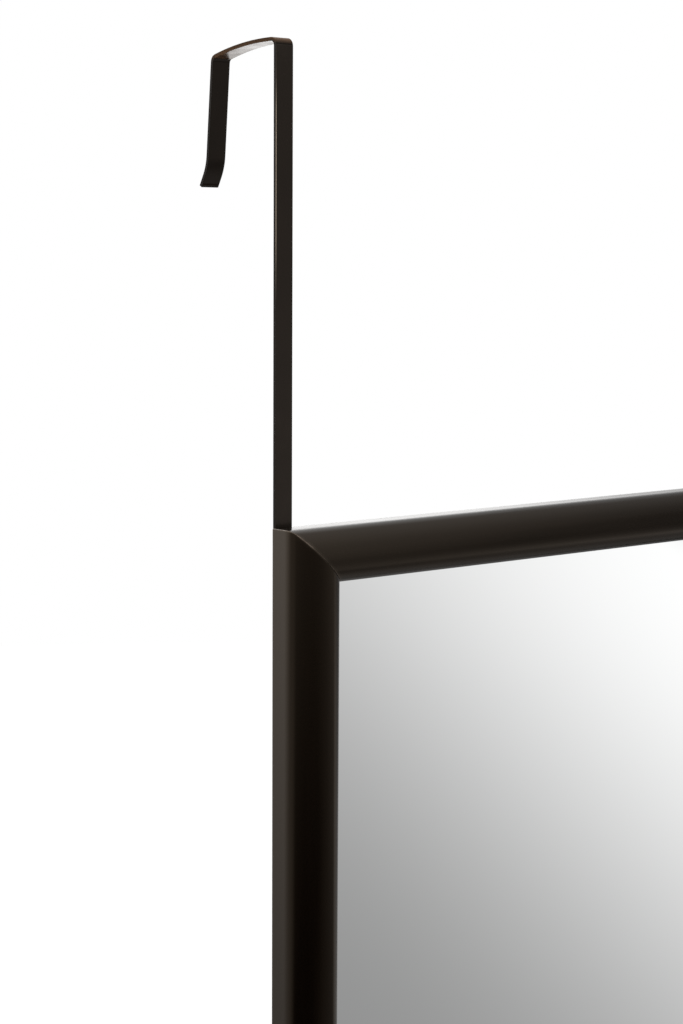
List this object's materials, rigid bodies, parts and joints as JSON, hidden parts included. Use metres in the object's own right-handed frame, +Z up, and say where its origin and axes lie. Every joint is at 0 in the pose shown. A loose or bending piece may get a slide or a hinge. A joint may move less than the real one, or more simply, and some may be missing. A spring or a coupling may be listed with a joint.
{
  "type": "over the door mirror",
  "caption": "Tall narrow mirror in a black mitred moulding, hung over a door's top edge by two long bent flat steel hooks screwed to its back.",
  "frame": {"origin": "the front corner of the door's top edge, midway between the two hooks", "axes": "+X across the mirror, to the right seen from the front; +Y back towards the door; +Z up"},
  "size_m": [0.37, 0.0786, 1.493],
  "materials": {
    "frame_black": "wood fibre moulding in smooth brown-black semi-gloss lacquer",
    "mirror": "polished silvered float glass",
    "mirror_backing": "grey protective paint over the silver",
    "packing_card": "plain grey card",
    "backing_board": "brown hardboard, smooth face out",
    "hook_black": "black semi-gloss enamel",
    "zinc_plate": "bright zinc plate",
    "foam_pad": "fine black foam"
  },
  "bodies": {
    "root": {"top_rail": "frame_black", "bottom_rail": "frame_black", "left_stile": "frame_black", "right_stile": "frame_black", "mirror_pane": "mirror", "silvering": "mirror_backing", "packing_card": "packing_card", "backing_board": "backing_board", "top_tabs": "zinc_plate", "bottom_tabs": "zinc_plate", "left_tabs": "zinc_plate", "right_tabs": "zinc_plate", "top_left_nails": "zinc_plate", "top_right_nails": "zinc_plate", "bottom_left_nails": "zinc_plate", "bottom_right_nails": "zinc_plate", "left_hook": "hook_black", "right_hook": "hook_black", "left_hook_screws": "zinc_plate", "right_hook_screws": "zinc_plate", "left_pad": "foam_pad", "right_pad": "foam_pad"}
  },
  "joints": []
}
